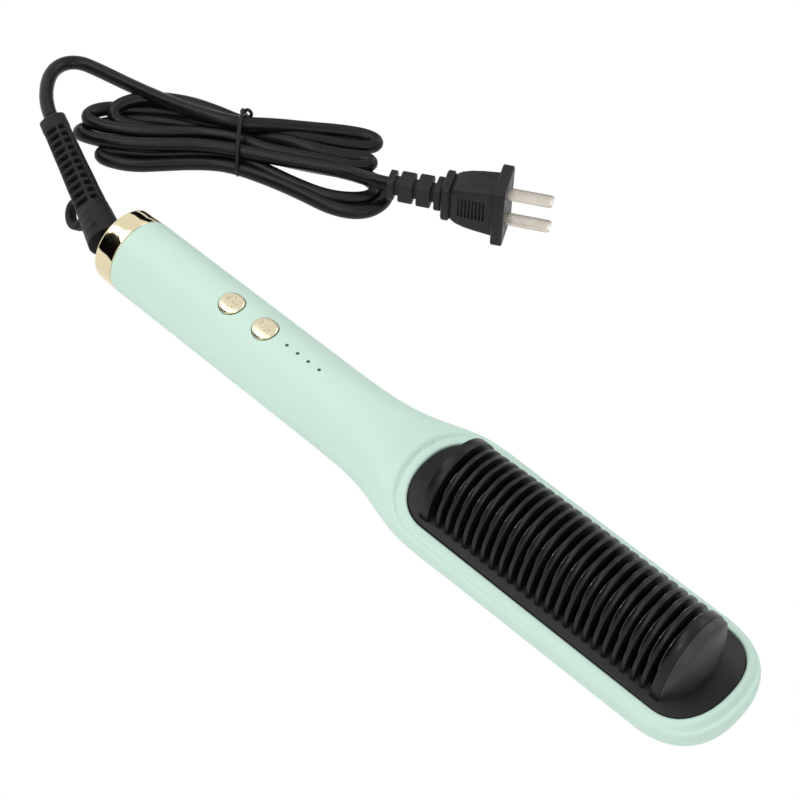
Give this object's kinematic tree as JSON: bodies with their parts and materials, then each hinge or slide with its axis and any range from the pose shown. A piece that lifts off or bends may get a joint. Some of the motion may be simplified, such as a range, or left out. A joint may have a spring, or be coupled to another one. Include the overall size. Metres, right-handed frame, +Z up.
{
  "type": "hot comb",
  "caption": "Corded heated hair comb: round handle, flared head with arched comb plates on a black panel, two push buttons and a swivel cord with plug.",
  "frame": {"origin": "middle of the underside: centre of the handle and head's box, on the surface that it rests on", "axes": "+X from the cord end to the tip of the head, +Z up through the comb plates, +Y to the side where the cord lies"},
  "size_m": [0.392, 0.1518, 0.0524],
  "materials": {
    "mint_plastic": "smooth moulded housing, light green",
    "gold_ring": "polished metallic ring",
    "black_plastic": "glossy heat-resistant moulding",
    "black_fin": "black ceramic-coated fins",
    "grey_plastic": "moulded inner carrier",
    "bearing_plastic": "acetal bearing",
    "contact_metal": "sprung contact",
    "heater_ceramic": "plain",
    "mica": "pressed sheet",
    "steel": "zinc plated",
    "board_green": "circuit board",
    "component_black": "moulded component",
    "component_blue": "wrapped capacitor",
    "light_white": "small light",
    "clear_guide": "clear moulding",
    "glass_tube": "fuse glass",
    "gold_button": "polished push button",
    "wire_insulation": "silicone insulation",
    "boot_rubber": "soft strain relief, black",
    "cord_rubber": "cord sheath, black",
    "tie_wire": "coated twist wire",
    "plug_plastic": "moulded plug, black",
    "blade_metal": "nickel plated blade"
  },
  "bodies": {
    "housing": {"main_shell": "mint_plastic", "back_cover": "mint_plastic", "end_ring": "gold_ring", "end_cap": "bearing_plastic", "contact_block": "grey_plastic", "contact_springs": "contact_metal", "comb_cover": "black_plastic", "heated_comb": "black_fin", "ceramic_heater": "heater_ceramic", "mica_sheet": "mica", "heater_clamp": "steel", "case_screws": "steel", "cover_screws": "steel", "board_screws": "steel", "clamp_screws": "steel", "comb_screws": "steel", "thermal_fuse": "steel", "temperature_sensor": "heater_ceramic", "control_board": "board_green", "push_switches": "component_black", "indicator_lights": "light_white", "light_guide": "clear_guide", "supply_capacitor": "component_blue", "film_capacitor": "component_black", "power_triac": "component_black", "glass_fuse": "glass_tube", "wire_terminal": "grey_plastic", "supply_wires": "wire_insulation", "heater_wires": "wire_insulation", "sensor_wires": "wire_insulation"},
    "power_button": {"power_button": "gold_button"},
    "temperature_button": {"temperature_button": "gold_button"},
    "swivel": {"swivel_hub": "bearing_plastic", "contact_pins": "contact_metal", "cord_boot": "boot_rubber", "cord_lead": "cord_rubber", "cord_hank": "cord_rubber", "cord_tie": "tie_wire", "cord_tail": "cord_rubber", "plug_body": "plug_plastic", "plug_blades": "blade_metal"}
  },
  "joints": [
    {"name": "power_press", "type": "slide", "parent": "housing", "child": "power_button", "axis": [0, 0, -1], "range_m": [0, 0.0005], "stiffness_N_per_m": 300},
    {"name": "temperature_press", "type": "slide", "parent": "housing", "child": "temperature_button", "axis": [0, 0, -1], "range_m": [0, 0.0005], "stiffness_N_per_m": 300},
    {"name": "cord_swivel", "type": "hinge", "parent": "housing", "child": "swivel", "pos_m": [-0.145, 0, 0.016], "axis": [1, 0, 0], "continuous": true}
  ]
}
